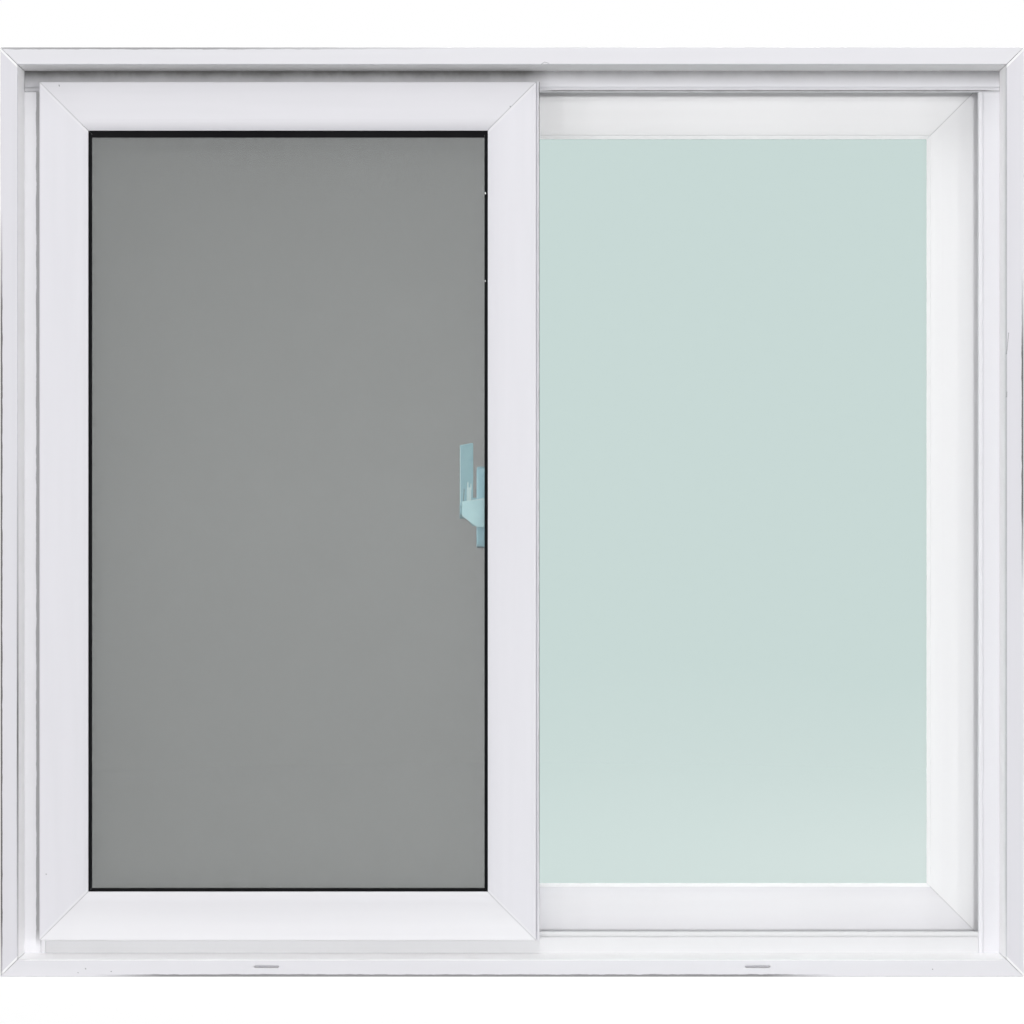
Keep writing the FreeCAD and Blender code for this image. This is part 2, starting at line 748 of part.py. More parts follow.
lock_base = new_body("lock_base")
base_outline = new_sketch(lock_base, "lock_base_outline", "YZ_Plane")
half_width = "lock_base_width / 2"
half_straight = "(lock_base_length - lock_base_width) / 2"
outline(base_outline, [
    (f"-{half_width}", half_straight),
    (half_width, half_straight, half_width),
    (half_width, f"-{half_straight}"),
    (f"-{half_width}", f"-{half_straight}", half_width),
])
doc.recompute()
base_pad = pad(lock_base, "lock_base_pad", base_outline, "lock_base_thickness", reverse=True)
outer_x = base_pad.Shape.BoundBox.XMin
rim = [f"Edge{number}" for number, edge in enumerate(base_pad.Shape.Edges, start=1)
       if edge.BoundBox.XMax < outer_x + 1e-3]
round_edges(lock_base, "lock_base_rim", base_pad, rim, "lock_edge_radius")
place(lock_base, lock_face, f"{rear_depth} + lock_base_depth", "lock_height + lock_base_rise")
NODES["lock_base"] = lock_base

lock_lever = new_body("lock_lever")
hub_profile = new_sketch(lock_lever, "lock_hub_profile", "XZ_Plane")
outline(hub_profile, rectangle("-lock_reach", "0", "0", "lock_hub_radius"))
doc.recompute()
hub = lock_lever.newObject("PartDesign::Revolution", "lock_hub")
hub.Profile = hub_profile
hub.ReferenceAxis = (origin_feature(lock_lever, "X_Axis"), [""])
hub.Angle = 360
doc.recompute()

cam_profile = new_sketch(lock_lever, "lock_cam_profile", "XZ_Plane")
outline(cam_profile, [
    ("-lock_cam_length", "0"),
    ("0", "0"),
    ("0", "lock_cam_radius"),
    ("-lock_cam_tip", "lock_cam_radius"),
    ("-lock_cam_length", "lock_cam_root"),
])
doc.recompute()
cam = lock_lever.newObject("PartDesign::Revolution", "lock_cam")
cam.Profile = cam_profile
cam.ReferenceAxis = (origin_feature(lock_lever, "X_Axis"), [""])
cam.Angle = 180
doc.recompute()
if cam.AddSubShape.BoundBox.YMin < -1:
    cam.Reversed = True
    doc.recompute()

grip_outline = new_sketch(lock_lever, "lock_grip_outline", "XZ_Plane")
grip_right = "-(lock_reach - lever_width)"
outline(grip_outline, [
    ("-lock_reach", "-lever_foot"),
    (grip_right, "-lever_foot"),
    (grip_right, "lever_top"),
    ("-lock_reach", "lever_top - lever_top_slant"),
])
doc.recompute()
grip = pad(lock_lever, "lock_grip", grip_outline, "lever_thickness", reverse=True)
grip_top = grip.Shape.BoundBox.ZMax - value_of("lever_top_slant") - 1
grip_edges = [f"Edge{number}" for number, edge in enumerate(grip.Shape.Edges, start=1)
              if edge.BoundBox.ZMin > grip_top]
round_edges(lock_lever, "lock_grip_edges", grip, grip_edges, "lever_edge_radius")

# A raised rib stiffens the foot of the grip on the outside.
rib = new_sketch(lock_lever, "lock_rib_outline", "XZ_Plane")
rib_left = f"{grip_right} - lever_rib_width"
outline(rib, [
    (rib_left, "lever_rib_low"),
    (grip_right, "lever_rib_low"),
    (grip_right, "lever_rib_high"),
    (f"{rib_left} + lever_rib_corner", "lever_rib_high"),
    (rib_left, "lever_rib_high - lever_rib_corner"),
])
doc.recompute()
pad(lock_lever, "lock_rib", rib, "lever_rib_proud")
place(lock_lever, f"{lock_face} - lock_base_thickness", f"{rear_depth} + lock_pivot_depth", "lock_height")
NODES["lock_lever"] = lock_lever

# Keeper on the room side of the front meeting stile: a plate with a closed cup that takes the cam.
keeper = new_body("lock_keeper")


def keeper_outline(right):
    """The keeper out to an upright edge: its top falls to the left, its lower left corner is cut off."""
    fall = "keeper_top_slant / (keeper_overlap + keeper_reach)"
    return [
        ("-keeper_reach + keeper_corner_width", "-keeper_drop"),
        (right, "-keeper_drop"),
        (right, f"keeper_rise - {fall} * (keeper_overlap - ({right}))"),
        ("-keeper_reach", "keeper_rise - keeper_top_slant"),
        ("-keeper_reach", "-keeper_drop + keeper_corner_height"),
    ]


plate = new_sketch(keeper, "lock_keeper_outline", "XZ_Plane")
outline(plate, keeper_outline("keeper_overlap"))
doc.recompute()
pad(keeper, "lock_keeper_plate", plate, "keeper_thickness", reverse=True)
cup = new_sketch(keeper, "lock_keeper_cup_outline", "XZ_Plane")
outline(cup, keeper_outline("-keeper_cup_gap"))
doc.recompute()
cup_pad = pad(keeper, "lock_keeper_cup", cup, "keeper_cup")
cup_face = cup_pad.Shape.BoundBox.YMin
cup_rim = [f"Edge{number}" for number, edge in enumerate(cup_pad.Shape.Edges, start=1)
           if edge.BoundBox.YMax < cup_face + 1e-3]
round_edges(keeper, "lock_keeper_rim", cup_pad, cup_rim, "keeper_edge_radius")

# The cam swings into the cup from the room side.
cam_start = "(rear_interlock + lock_base_thickness)"
pocket_left = f"-({cam_start} + lock_cam_length)"
pocket_right = f"-{cam_start} + keeper_play"
half = "keeper_pocket_height / 2"
pocket = new_sketch(keeper, "lock_keeper_pocket", "XZ_Plane")
outline(pocket, [
    (f"{pocket_left} + keeper_pocket_corner", f"-{half}"),
    (pocket_right, f"-{half}"),
    (pocket_right, half),
    (pocket_left, half),
    (pocket_left, f"-{half} + keeper_pocket_corner"),
])
bind(pocket, "AttachmentOffset.Base.z", "-keeper_thickness")
doc.recompute()
uncut = keeper.Shape.Volume
pocket_cut = keeper.newObject("PartDesign::Pocket", "lock_keeper_pocket_cut")
pocket_cut.Profile = pocket
pocket_cut.Reversed = True
bind(pocket_cut, "Length", "keeper_pocket_depth")
doc.recompute()
if keeper.Shape.Volume >= uncut:
    raise RuntimeError("the keeper's pocket cuts nothing")
place(keeper, f"{front_edge} - sash_face", f"{front_depth} + sash_thickness", "lock_height")
NODES["lock_keeper"] = keeper

doc.recompute()

broken = [item.Name for item in doc.Objects if {"Invalid", "Error"} & set(item.State)]
if broken:
    raise RuntimeError(f"features that failed: {broken}")
for name, item in NODES.items():
    if item.Shape.isNull() or not item.Shape.isValid():
        raise RuntimeError(f"bad shape: {name}")

os.makedirs("parts", exist_ok=True)
for name, item in NODES.items():
    item.Shape.exportStep(f"parts/{name}.step")
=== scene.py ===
"""Looks of a white sliding window: uPVC bars, tinted glass, gaskets, a woven screen and a crescent lock."""
import math
from collections import namedtuple
from itertools import product

import bmesh
import bpy
from mathutils import Matrix, Vector


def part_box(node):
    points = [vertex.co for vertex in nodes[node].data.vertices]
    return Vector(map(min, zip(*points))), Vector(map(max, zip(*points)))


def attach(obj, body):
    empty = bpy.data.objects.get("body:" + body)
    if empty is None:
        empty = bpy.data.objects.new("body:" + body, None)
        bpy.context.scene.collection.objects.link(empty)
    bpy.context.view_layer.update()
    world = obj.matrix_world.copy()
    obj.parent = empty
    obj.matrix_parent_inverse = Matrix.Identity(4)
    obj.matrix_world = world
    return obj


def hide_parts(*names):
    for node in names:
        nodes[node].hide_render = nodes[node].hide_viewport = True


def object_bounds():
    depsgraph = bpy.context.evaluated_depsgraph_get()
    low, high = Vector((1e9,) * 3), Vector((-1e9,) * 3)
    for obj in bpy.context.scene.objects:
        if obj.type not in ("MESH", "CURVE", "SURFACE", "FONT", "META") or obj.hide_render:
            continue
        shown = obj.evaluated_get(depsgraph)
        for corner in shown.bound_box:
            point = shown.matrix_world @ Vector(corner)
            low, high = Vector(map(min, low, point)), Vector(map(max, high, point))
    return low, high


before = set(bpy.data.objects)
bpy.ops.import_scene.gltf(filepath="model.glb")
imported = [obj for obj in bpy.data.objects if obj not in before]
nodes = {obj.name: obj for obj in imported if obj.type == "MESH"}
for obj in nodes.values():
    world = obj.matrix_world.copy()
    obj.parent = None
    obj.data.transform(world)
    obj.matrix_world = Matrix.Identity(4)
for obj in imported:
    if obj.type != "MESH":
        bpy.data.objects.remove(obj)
cad_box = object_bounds()

MM = 0.001
WHITE = (1.0, 1.0, 1.0, 1.0)

# The camera stands straight in front of the middle of the window.
CAMERA_DISTANCE = 3.0
PICTURE_WIDTH = 1.2008
SENSOR = 36.0

# Lamps: degrees round to the right of the camera and above the floor, strength, how wide each looks in
# degrees, and whether gloss and glass show it.
LAMPS = {
    "key_lamp": (3.0, 16.0, 0.2, 8.0, True),
    "front_lamp": (2.0, 3.0, 0.76, 6.0, False),
    "left_lamp": (-36.0, 2.5, 0.22, 5.0, True),
    "left_side_lamp": (-56.0, 2.5, 0.24, 5.0, True),
    "far_left_lamp": (-76.0, 2.5, 0.30, 5.0, True),
    "right_lamp": (36.0, 2.5, 0.21, 5.0, True),
    "right_side_lamp": (56.0, 2.5, 0.23, 5.0, True),
    "far_right_lamp": (76.0, 2.5, 0.29, 5.0, True),
    "top_lamp": (0.0, 62.0, 1.2, 30.0, True),
    "back_lamp": (170.0, 42.0, 1.0, 25.0, True),
    "room_lamp": (184.0, 18.0, 1.15, 8.0, False),
}
SKY_STRENGTH = 0.1
FLOOR_SIDE = 400.0
FLOOR_DROP = 0.3 * MM
FLOOR_LIT = (0.62, 0.62, 0.62, 1.0)
FLOOR_SHADED = (0.1, 0.1, 0.1, 1.0)
FLOOR_GLOW = 0.94
SHADOW_REACH = 2.5

# The pitch and thickness of the screen's yarn.
YARN_PITCH = 0.45 * MM
YARN_WIDTH = 0.2 * MM


# Places that the finishes are worked out from

def bar_rectangle(left, right, bottom, top):
    """The middle of the rectangle that four bars make, half its width and half its height."""
    low_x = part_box(left)[0].x
    high_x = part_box(right)[1].x
    low_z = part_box(bottom)[0].z
    high_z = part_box(top)[1].z
    middle = ((low_x + high_x) / 2, 0.0, (low_z + high_z) / 2)
    return middle, (high_x - low_x) / 2, (high_z - low_z) / 2


FRAME_MIDDLE, FRAME_HALF_WIDTH, FRAME_HALF_HEIGHT = bar_rectangle(
    "frame_left_jamb", "frame_right_jamb", "frame_sill", "frame_head",
)
FRONT_MIDDLE, SASH_HALF_WIDTH, SASH_HALF_HEIGHT = bar_rectangle(
    "front_left_stile", "front_meeting_stile", "front_bottom_rail", "front_top_rail",
)
REAR_MIDDLE = bar_rectangle("rear_meeting_stile", "rear_right_stile", "rear_bottom_rail", "rear_top_rail")[0]

OUTSIDE = cad_box[0][1]
FRAME_LEFT = cad_box[0][0]
FRAME_RIGHT = cad_box[1][0]
FRAME_BOTTOM = cad_box[0][2]
FRAME_TOP = cad_box[1][2]
FRAME_LIP = 20 * MM

SASH_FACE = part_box("front_left_stile")[1].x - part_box("front_left_stile")[0].x
PANE_HALF = (SASH_HALF_WIDTH - SASH_FACE, 0.0, SASH_HALF_HEIGHT - SASH_FACE)
HEAD_RAIL_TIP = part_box("head_rails")[0].z
LEFT_RAIL_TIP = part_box("left_jamb_rails")[1].x
STRIP_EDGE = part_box("front_interlock_strip")[1].x


# Small helpers for node trees

def node(tree, kind, inputs=None, **settings):
    """Adds a shader node. An input is given by name or number, as a value or as the socket that feeds it."""
    made = tree.nodes.new("ShaderNode" + kind)
    for name, value in settings.items():
        setattr(made, name, value)
    for name, value in (inputs or {}).items():
        if isinstance(value, bpy.types.NodeSocket):
            tree.links.new(value, made.inputs[name])
        else:
            made.inputs[name].default_value = value
    return made


def calculate(tree, operation, *values, clamp=False):
    """The result of a Math node."""
    return node(tree, "Math", dict(enumerate(values)), operation=operation, use_clamp=clamp).outputs[0]


def vector_calculate(tree, operation, *values):
    """A Vector Math node, whose result is in its Vector or Value output."""
    return node(tree, "VectorMath", dict(enumerate(values)), operation=operation)


def parts(tree, vector):
    """The X, Y and Z of a vector."""
    return node(tree, "SeparateXYZ", {0: vector}).outputs


def spread(tree, value, low, high, to_low=0.0, to_high=1.0):
    """A value taken from one range to another, held inside it."""
    inputs = {"Value": value, "From Min": low, "From Max": high, "To Min": to_low, "To Max": to_high}
    return node(tree, "MapRange", inputs, clamp=True).outputs["Result"]


def blend_colours(tree, share, first, second):
    """The second colour laid over the first by a share."""
    mix = node(tree, "Mix", {0: share, 6: first, 7: second}, data_type="RGBA")
    return mix.outputs[2]


def noise(tree, place, scale, detail=3.0, roughness=0.5):
    """Soft clouds between 0 and 1, with their mean at a half."""
    inputs = {"Vector": place, "Scale": scale, "Detail": detail, "Roughness": roughness}
    return node(tree, "TexNoise", inputs).outputs["Fac"]


def object_place(tree):
    """Places in the window's own frame, in metres."""
    return node(tree, "TexCoord").outputs["Object"]


def new_group(name, inputs, outputs):
    """An empty shader node group with its sockets."""
    group = bpy.data.node_groups.new(name, "ShaderNodeTree")
    for socket, kind, value in inputs:
        made = group.interface.new_socket(socket, in_out="INPUT", socket_type="NodeSocket" + kind)
        made.default_value = value
    for socket, kind in outputs:
        group.interface.new_socket(socket, in_out="OUTPUT", socket_type="NodeSocket" + kind)
    given = group.nodes.new("NodeGroupInput").outputs
    results = group.nodes.new("NodeGroupOutput").inputs
    return group, given, results


def place_group(tree, group, inputs):
    """Places a group in a material with its own values, and gives its outputs."""
    return node(tree, "Group", inputs, node_tree=group).outputs


# Effects that several finishes share

# Where the painted light on the frame's inner sides starts and is full, from the outside face.
INSIDE_LIGHT_START = 1 * MM
INSIDE_LIGHT_FULL = 4 * MM

# A welded seam's width, and where the painted highlight beside it rises and falls.
SEAM_WIDTH = 0.8 * MM
HIGHLIGHT_START = 0.7 * MM
HIGHLIGHT_RISEN = 1.2 * MM
HIGHLIGHT_FALLS = 3.6 * MM
HIGHLIGHT_END = 4.6 * MM


def make_drawn_tone():
    """Light and dark drift along a bar: streaks from drawing it through its die, and broad wiped patches."""
    group, given, results = new_group(
        "drawn_tone",
        [("Along", "Vector", (1.0, 1.0, 1.0)), ("Streaks", "Float", 0.4), ("Patches", "Float", 0.6)],
        [("Tone", "Float")],
    )
    stretched = vector_calculate(group, "MULTIPLY", object_place(group), given["Along"]).outputs[0]
    streaks = noise(group, stretched, scale=90.0, detail=2.0)
    patches = noise(group, stretched, scale=16.0, detail=4.0, roughness=0.6)
    streaks = calculate(group, "MULTIPLY", calculate(group, "SUBTRACT", streaks, 0.5), given["Streaks"])
    patches = calculate(group, "MULTIPLY", calculate(group, "SUBTRACT", patches, 0.5), given["Patches"])
    tone = calculate(group, "ADD", calculate(group, "ADD", streaks, patches), 0.5, clamp=True)
    group.links.new(tone, results["Tone"])
    return group


def make_settled_dust():
    """Fine dust on what faces up, thicker in some places."""
    group, given, results = new_group(
        "settled_dust",
        [("Color", "Color", WHITE), ("Dust", "Color", WHITE), ("Amount", "Float", 0.3)],
        [("Color", "Color")],
    )
    upward = parts(group, node(group, "NewGeometry").outputs["Normal"])["Z"]
    lying = spread(group, upward, low=0.35, high=0.95)
    clouds = noise(group, object_place(group), scale=45.0, detail=5.0, roughness=0.65)
    cover = calculate(group, "MULTIPLY", lying, spread(group, clouds, low=0.35, high=0.7))
    cover = calculate(group, "MULTIPLY", cover, given["Amount"])
    group.links.new(blend_colours(group, cover, given["Color"], given["Dust"]), results["Color"])
    return group


def make_moulded_grain():
    """The fine unevenness of moulded and painted surfaces, as a height."""
    group, given, results = new_group(
        "moulded_grain",
        [("Scale", "Float", 900.0), ("Waves", "Float", 0.5)],
        [("Height", "Float")],
    )
    place = object_place(group)
    grain = noise(group, place, given["Scale"], detail=2.0)
    waves = calculate(group, "MULTIPLY", noise(group, place, scale=28.0, detail=2.0), given["Waves"])
    group.links.new(calculate(group, "ADD", grain, waves), results["Height"])
    return group


def make_handled_gloss():
    """Roughness that changes where hands and cloths have been."""
    group, given, results = new_group(
        "handled_gloss",
        [("Roughness", "Float", 0.35), ("Change", "Float", 0.15)],
        [("Roughness", "Float")],
    )
    smears = noise(group, object_place(group), scale=22.0, detail=5.0, roughness=0.7)
    change = calculate(group, "MULTIPLY", calculate(group, "SUBTRACT", smears, 0.5), given["Change"])
    group.links.new(calculate(group, "ADD", given["Roughness"], change, clamp=True), results["Roughness"])
    return group


def make_short_mark():
    """A scratch or speck as seen from outside: a short line of some width with a ragged rim."""
    group, given, results = new_group(
        "short_mark",
        [("From", "Vector", (0, 0, 0)), ("To", "Vector", (0, 0, 0)), ("Width", "Float", 1 * MM)],
        [("Mark", "Float")],
    )
    flat = (1.0, 0.0, 1.0)
    place = vector_calculate(group, "MULTIPLY", object_place(group), flat).outputs[0]
    away = vector_calculate(group, "SUBTRACT", place, given["From"]).outputs[0]
    whole = vector_calculate(group, "SUBTRACT", given["To"], given["From"]).outputs[0]
    along = vector_calculate(group, "DOT_PRODUCT", away, whole).outputs["Value"]
    square = vector_calculate(group, "DOT_PRODUCT", whole, whole).outputs["Value"]
    share = calculate(group, "DIVIDE", along, square, clamp=True)
    nearest = node(group, "VectorMath", {0: whole, "Scale": share}, operation="SCALE").outputs[0]
    reach = vector_calculate(group, "DISTANCE", away, nearest).outputs["Value"]
    clouds = noise(group, place, scale=1500.0, detail=2.0)
    ragged = spread(group, clouds, low=0.3, high=0.7, to_low=0.4, to_high=1.2)
    width = calculate(group, "MULTIPLY", given["Width"], ragged)
    group.links.new(calculate(group, "LESS_THAN", reach, width), results["Mark"])
    return group


def make_painted_inside_light():
    """Painted light: a lighter white on the frame's inner sides, which face sideways and lie in shade."""
    group, given, results = new_group(
        "painted_inside_light",
        [("Color", "Color", WHITE), ("Inside", "Color", WHITE)],
        [("Color", "Color")],
    )
    depth = parts(group, object_place(group))["Y"]
    inside = spread(group, depth, low=OUTSIDE + INSIDE_LIGHT_START, high=OUTSIDE + INSIDE_LIGHT_FULL)
    outward = parts(group, node(group, "NewGeometry").outputs["True Normal"])["Y"]
    sideways = spread(group, calculate(group, "ABSOLUTE", outward), low=0.9, high=0.5)
    inside = calculate(group, "MULTIPLY", inside, sideways)
    group.links.new(blend_colours(group, inside, given["Color"], given["Inside"]), results["Color"])
    return group


def make_line_along_edge():
    """A thin line along an edge, uneven in width, that fades at both ends. It carries painted shade, painted
    highlights and plain dark lines.
    """
    group, given, results = new_group(
        "line_along_edge",
        [
            ("Away", "Float", 0.0), ("Width", "Float", 2 * MM), ("Depth", "Float", 5 * MM),
            ("Along", "Float", 0.0), ("Start", "Float", 0.0), ("End", "Float", 1.0), ("Fade", "Float", 0.1),
        ],
        [("Line", "Float")],
    )
    place = object_place(group)
    depth = calculate(group, "SUBTRACT", parts(group, place)["Y"], OUTSIDE)
    clouds = noise(group, place, scale=70.0)
    ragged = spread(group, clouds, low=0.3, high=0.7, to_low=0.8, to_high=1.08)
    width = calculate(group, "MULTIPLY", given["Width"], ragged)
    line = calculate(group, "LESS_THAN", given["Away"], width)
    line = calculate(group, "MULTIPLY", line, calculate(group, "LESS_THAN", depth, given["Depth"]))
    past_start = calculate(group, "SUBTRACT", given["Along"], given["Start"])
    before_end = calculate(group, "SUBTRACT", given["End"], given["Along"])
    for reach in (past_start, before_end):
        share = calculate(group, "DIVIDE", reach, given["Fade"], clamp=True)
        line = calculate(group, "MULTIPLY", line, share)
    group.links.new(line, results["Line"])
    return group


def make_corner_seams():
    """The welded seams at the corners of a rectangle of bars: a fine line along each mitre, and a painted
    highlight beside it on the upright bar."""
    group, given, results = new_group(
        "corner_seams",
        [("Middle", "Vector", FRAME_MIDDLE), ("Wider", "Float", 0.0), ("Width", "Float", SEAM_WIDTH)],
        [("Seam", "Float"), ("Ridge", "Float")],
    )
    away = vector_calculate(group, "SUBTRACT", object_place(group), given["Middle"]).outputs[0]
    away = parts(group, vector_calculate(group, "ABSOLUTE", away).outputs[0])
    across = calculate(group, "SUBTRACT", calculate(group, "SUBTRACT", away["X"], away["Z"]), given["Wider"])
    share = calculate(group, "DIVIDE", calculate(group, "ABSOLUTE", across), given["Width"], clamp=True)
    group.links.new(calculate(group, "SUBTRACT", 1.0, share), results["Seam"])
    past_seam = spread(group, across, low=HIGHLIGHT_START, high=HIGHLIGHT_RISEN)
    before_end = spread(group, across, low=HIGHLIGHT_END, high=HIGHLIGHT_FALLS)
    group.links.new(calculate(group, "MULTIPLY", past_seam, before_end), results["Ridge"])
    return group


def make_pane_edge():
    """1 at the edge of the pane in a sash's face, falling to 0 so far away from it."""
    group, given, results = new_group(
        "pane_edge",
        [("Middle", "Vector", FRONT_MIDDLE), ("Half", "Vector", PANE_HALF), ("Reach", "Float", 20 * MM)],
        [("Near", "Float")],
    )
    away = vector_calculate(group, "SUBTRACT", object_place(group), given["Middle"]).outputs[0]
    away = vector_calculate(group, "ABSOLUTE", away).outputs[0]
    away = parts(group, vector_calculate(group, "SUBTRACT", away, given["Half"]).outputs[0])
    away = calculate(group, "MAXIMUM", away["X"], away["Z"])
    share = calculate(group, "DIVIDE", away, given["Reach"], clamp=True)
    group.links.new(calculate(group, "SUBTRACT", 1.0, share), results["Near"])
    return group


drawn_tone = make_drawn_tone()
settled_dust = make_settled_dust()
moulded_grain = make_moulded_grain()
handled_gloss = make_handled_gloss()
short_mark = make_short_mark()
painted_inside_light = make_painted_inside_light()
line_along_edge = make_line_along_edge()
corner_seams = make_corner_seams()
pane_edge = make_pane_edge()


# Steps that the finishes are made of

# What places are multiplied by, so that streaks run along a level bar, an upright bar, both, the lever or
# no way at all.
ALONG_X = (0.06, 1.0, 1.0)
ALONG_Z = (1.0, 1.0, 0.06)
ALONG_BOTH = (0.4, 1.0, 0.4)
ALONG_LEVER = (1.0, 1.0, 0.3)
EVEN = (1.0, 1.0, 1.0)

DUST = (0.50, 0.49, 0.47, 1.0)
SCRATCH = (0.36, 0.36, 0.38, 1.0)
# The near black of painted shade and painted shadow, and of plain dark lines along edges.
SHADE_AND_LINE_DARK = (0.09, 0.09, 0.088, 1.0)
SEAM = (0.42, 0.42, 0.43, 1.0)
# The colour of painted highlights: beside the welded seams and along the top of the sill's lip.
PAINTED_HIGHLIGHT = (0.95, 0.95, 0.96, 1.0)
# The grey of the painted shade on a sash's bar beside its pane.
PANE_SHADE_GREY = (0.60, 0.595, 0.63, 1.0)
# The colours of painted highlights and of painted shade on the lock's edges.
PAINTED_GLINT = (0.86, 1.0, 1.0, 1.0)
PAINTED_EDGE_SHADE = (0.20, 0.24, 0.26, 1.0)

SEAM_SHARE = 0.7
SEAM_DEPTH = 4.0
ENAMEL_MARK_SHARE = 0.8

# Lines along edges, carrying painted shade, painted highlights and plain dark lines: the axis across the edge
# and the edge's place on it, the line's width, its start, end and fade along the edge, how deep it goes from
# the outside, and how strong it is.
EdgeLine = namedtuple("EdgeLine", "axis edge width start end fade depth strength")

# Welded corners: the middle of the bars, how much half their width is over half their height, and how strong
# the painted highlight beside each seam is.
Seams = namedtuple("Seams", "middle wider ridge")

# The shade on a bar beside its pane: the middle of the pane, how far it reaches and how strong it is.
PaneShade = namedtuple("PaneShade", "middle reach share")


def new_material(name):
    """A material with its tree, its shader and the output that the shader is joined to."""
    material = bpy.data.materials.new(name)
    material.use_nodes = True
    tree = material.node_tree
    tree.nodes.clear()
    output = node(tree, "OutputMaterial")
    shader = node(tree, "BsdfPrincipled")
    tree.links.new(shader.outputs[0], output.inputs["Surface"])
    return material, tree, shader, output


def drawn_colour(tree, tones, along, streaks, patches):
    """A colour that drifts between its light and its dark tone."""
    light, dark = tones
    tone = place_group(tree, drawn_tone, {"Along": along, "Streaks": streaks, "Patches": patches})["Tone"]
    return blend_colours(tree, tone, (*dark, 1.0), (*light, 1.0))


def add_dust(tree, colour, amount):
    """Dust laid over a colour."""
    return place_group(tree, settled_dust, {"Color": colour, "Dust": DUST, "Amount": amount})["Color"]


def add_marks(tree, colour, marks, mark_colour, share=1.0):
    """Scratches, specks or glints laid over a colour."""
    for start, end, width in marks:
        drawn = place_group(tree, short_mark, {"From": start, "To": end, "Width": width})["Mark"]
        colour = blend_colours(tree, calculate(tree, "MULTIPLY", drawn, share), colour, mark_colour)
    return colour


def add_edge_lines(tree, colour, lines, line_colour):
    """Lines along edges laid over a colour: painted shade, painted highlights and plain dark lines."""
    place = parts(tree, object_place(tree))
    for line in lines:
        along_axis = "Z" if line.axis == "X" else "X"
        away = calculate(tree, "ABSOLUTE", calculate(tree, "SUBTRACT", place[line.axis], line.edge))
        drawn = place_group(tree, line_along_edge, {
            "Away": away, "Width": line.width, "Along": place[along_axis], "Start": line.start,
            "End": line.end, "Fade": line.fade, "Depth": line.depth,
        })["Line"]
        colour = blend_colours(tree, calculate(tree, "MULTIPLY", drawn, line.strength), colour, line_colour)
    return colour


def add_pane_shade(tree, colour, pane):
    """Painted shade: the darker edge of a bar beside its pane."""
    near = place_group(tree, pane_edge, {"Middle": pane.middle, "Reach": pane.reach})["Near"]
    return blend_colours(tree, calculate(tree, "MULTIPLY", near, pane.share), colour, PANE_SHADE_GREY)


def add_seams(tree, colour, height, seams):
    """Welded corners laid over a colour and cut into a height, with a painted highlight beside each seam."""
    weld = place_group(tree, corner_seams, {"Middle": seams.middle, "Wider": seams.wider})
    colour = blend_colours(tree, calculate(tree, "MULTIPLY", weld["Ridge"], seams.ridge), colour, PAINTED_HIGHLIGHT)
    colour = blend_colours(tree, calculate(tree, "MULTIPLY", weld["Seam"], SEAM_SHARE), colour, SEAM)
    height = calculate(tree, "SUBTRACT", height, calculate(tree, "MULTIPLY", weld["Seam"], SEAM_DEPTH))
    return colour, height


def grain_height(tree, scale, waves):
    """The height of a moulded surface."""
    return place_group(tree, moulded_grain, {"Scale": scale, "Waves": waves})["Height"]


def raise_grain(tree, shader, height, strength, distance):
    """Joins a height to the shader as bump."""
    bump = node(tree, "Bump", {"Height": height, "Strength": strength, "Distance": distance})
    tree.links.new(bump.outputs[0], shader.inputs["Normal"])


def join_colour_and_gloss(tree, shader, colour, roughness, change):
    """Joins a colour and a roughness that changes by so much to the shader."""
    tree.links.new(colour, shader.inputs["Base Color"])
    gloss = place_group(tree, handled_gloss, {"Roughness": roughness, "Change": change})["Roughness"]
    tree.links.new(gloss, shader.inputs["Roughness"])


# Finishes

# Painted shade on the first head rail, in the recess under the head's lip: the middle of that rail from the
# outside face, and how far either way from it; where the shade starts and is full, up from the rail's tip;
# its share at the root and over the outer sash; where the part over the outer sash starts and is full, to the
# right of the window's middle.
HEAD_SHADE_DEPTH = 33 * MM
HEAD_SHADE_HALF_DEPTH = 12 * MM
HEAD_SHADE_START = 7.5 * MM
HEAD_SHADE_FULL = 23.5 * MM
HEAD_SHADE_ROOT_SHARE = 0.7
HEAD_SHADE_SASH_SHARE = 0.3
HEAD_SHADE_SASH_START = 45 * MM
HEAD_SHADE_SASH_FULL = 15 * MM

# The paler tint low on the glass: how far its top edge drifts, the height at which it is full, its share
# at the window's middle, and how far to the right of the middle it is whole.
PALE_DRIFT = 0.12
PALE_FULL = 0.06
PALE_MIDDLE_SHARE = 0.45
PALE_RIGHT = 0.5


def head_painted_shade(tree, colour):
    """Painted shade on the first head rail, under the head's lip: darkest at its root, and heavier over the
    outer sash.
    """
    place = parts(tree, object_place(tree))
    off_rail = calculate(tree, "ABSOLUTE", calculate(tree, "SUBTRACT", place["Y"], OUTSIDE + HEAD_SHADE_DEPTH))
    first_rail = calculate(tree, "LESS_THAN", off_rail, HEAD_SHADE_HALF_DEPTH)
    root = spread(tree, place["Z"], low=HEAD_RAIL_TIP + HEAD_SHADE_START, high=HEAD_RAIL_TIP + HEAD_SHADE_FULL)
    over_sash = spread(tree, place["X"], low=HEAD_SHADE_SASH_START, high=HEAD_SHADE_SASH_FULL)
    over_sash = calculate(tree, "MULTIPLY", over_sash, HEAD_SHADE_SASH_SHARE)
    amount = calculate(tree, "MULTIPLY_ADD", root, HEAD_SHADE_ROOT_SHARE, over_sash)
    clouds = noise(tree, object_place(tree), scale=30.0, detail=4.0, roughness=0.6)
    clouds = spread(tree, clouds, low=0.3, high=0.7, to_low=0.9, to_high=1.1)
    amount = calculate(tree, "MULTIPLY", calculate(tree, "MULTIPLY", amount, first_rail), clouds, clamp=True)
    return blend_colours(tree, amount, colour, SHADE_AND_LINE_DARK)


